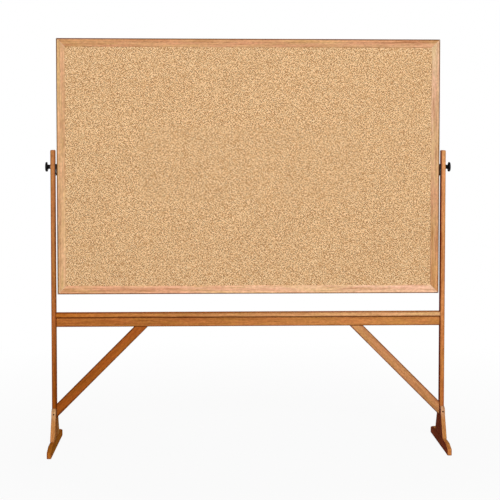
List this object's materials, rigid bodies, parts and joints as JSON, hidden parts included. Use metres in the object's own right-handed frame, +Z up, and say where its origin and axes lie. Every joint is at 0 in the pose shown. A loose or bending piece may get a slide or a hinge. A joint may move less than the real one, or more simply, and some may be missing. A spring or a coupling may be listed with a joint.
{
  "type": "reversible cork board",
  "caption": "Free-standing two-sided cork board in a mitred wooden frame that turns over on clamping pivots between wooden posts, with a pin ledge and braced feet.",
  "frame": {"origin": "on the floor, under the middle of the board, centred between the feet", "axes": "+X along the board to the viewer's right, +Y from the front face to the back face, +Z up"},
  "size_m": [1.939, 0.508, 1.9555],
  "materials": {
    "stand_wood": "honey-brown stained oak, satin clear coat",
    "frame_wood": "light natural oak moulding, satin clear coat",
    "cork": "bare natural cork, fine light and dark granules, matte",
    "core_board": "bare softboard core, matte",
    "tongue_wood": "bare beech, sawn",
    "black_steel": "black lacquered steel, satin",
    "zinc_steel": "bright zinc plated steel",
    "insert_brass": "turned brass",
    "knob_plastic": "black moulded thermoset, semi-gloss",
    "washer_nylon": "black nylon, matte"
  },
  "bodies": {
    "stand": {"barrel_nut_left": "zinc_steel", "barrel_nut_right": "zinc_steel", "brace_left": "stand_wood", "brace_post_screw_left": "zinc_steel", "brace_post_screw_right": "zinc_steel", "brace_rail_screw_left": "zinc_steel", "brace_rail_screw_right": "zinc_steel", "brace_right": "stand_wood", "foot_bar_left": "stand_wood", "foot_bar_right": "stand_wood", "foot_block_left_back": "stand_wood", "foot_block_left_front": "stand_wood", "foot_block_right_back": "stand_wood", "foot_block_right_front": "stand_wood", "foot_block_screw_left_back": "black_steel", "foot_block_screw_left_front": "black_steel", "foot_block_screw_right_back": "black_steel", "foot_block_screw_right_front": "black_steel", "foot_bolt_left": "zinc_steel", "foot_bolt_right": "zinc_steel", "post_left": "stand_wood", "post_plate_left": "black_steel", "post_plate_right": "black_steel", "post_plate_screw_left": "black_steel", "post_plate_screw_right": "black_steel", "post_right": "stand_wood", "rail": "stand_wood", "rail_bolt_left": "zinc_steel", "rail_bolt_right": "zinc_steel", "tray_floor": "stand_wood", "tray_lip_back": "stand_wood", "tray_lip_front": "stand_wood"},
    "board": {"board_plate_left": "black_steel", "board_plate_right": "black_steel", "board_plate_screw_left_lower": "black_steel", "board_plate_screw_left_upper": "black_steel", "board_plate_screw_right_lower": "black_steel", "board_plate_screw_right_upper": "black_steel", "core_panel": "core_board", "cork_back": "cork", "cork_front": "cork", "corner_tongue_bottom_left": "tongue_wood", "corner_tongue_bottom_right": "tongue_wood", "corner_tongue_top_left": "tongue_wood", "corner_tongue_top_right": "tongue_wood", "frame_bottom": "frame_wood", "frame_left": "frame_wood", "frame_right": "frame_wood", "frame_top": "frame_wood", "friction_washer_left": "washer_nylon", "friction_washer_right": "washer_nylon", "pivot_stud_left": "zinc_steel", "pivot_stud_right": "zinc_steel"},
    "knob_washer_left": {"knob_washer_left": "zinc_steel"},
    "knob_left": {"knob_insert_left": "insert_brass", "knob_left": "knob_plastic"},
    "knob_washer_right": {"knob_washer_right": "zinc_steel"},
    "knob_right": {"knob_insert_right": "insert_brass", "knob_right": "knob_plastic"}
  },
  "joints": [
    {"name": "board_flip", "type": "hinge", "parent": "stand", "child": "board", "pos_m": [0, 0, 1.346], "axis": [1, 0, 0], "continuous": true},
    {"name": "knob_left_travel", "type": "slide", "parent": "board", "child": "knob_washer_left", "axis": [-1, 0, 0], "range_m": [0, 0.0038]},
    {"name": "knob_left_turn", "type": "hinge", "parent": "knob_washer_left", "child": "knob_left", "pos_m": [-0.96, 0, 1.346], "axis": [-1, 0, 0], "range_deg": [0, 1080]},
    {"name": "knob_right_travel", "type": "slide", "parent": "board", "child": "knob_washer_right", "axis": [1, 0, 0], "range_m": [0, 0.0038]},
    {"name": "knob_right_turn", "type": "hinge", "parent": "knob_washer_right", "child": "knob_right", "pos_m": [0.96, 0, 1.346], "axis": [1, 0, 0], "range_deg": [0, 1080]}
  ],
  "couplings": [
    {"joint": "knob_left_travel", "follows": "knob_left_turn", "m_per_rad": 0.00019894},
    {"joint": "knob_right_travel", "follows": "knob_right_turn", "m_per_rad": 0.00019894}
  ]
}
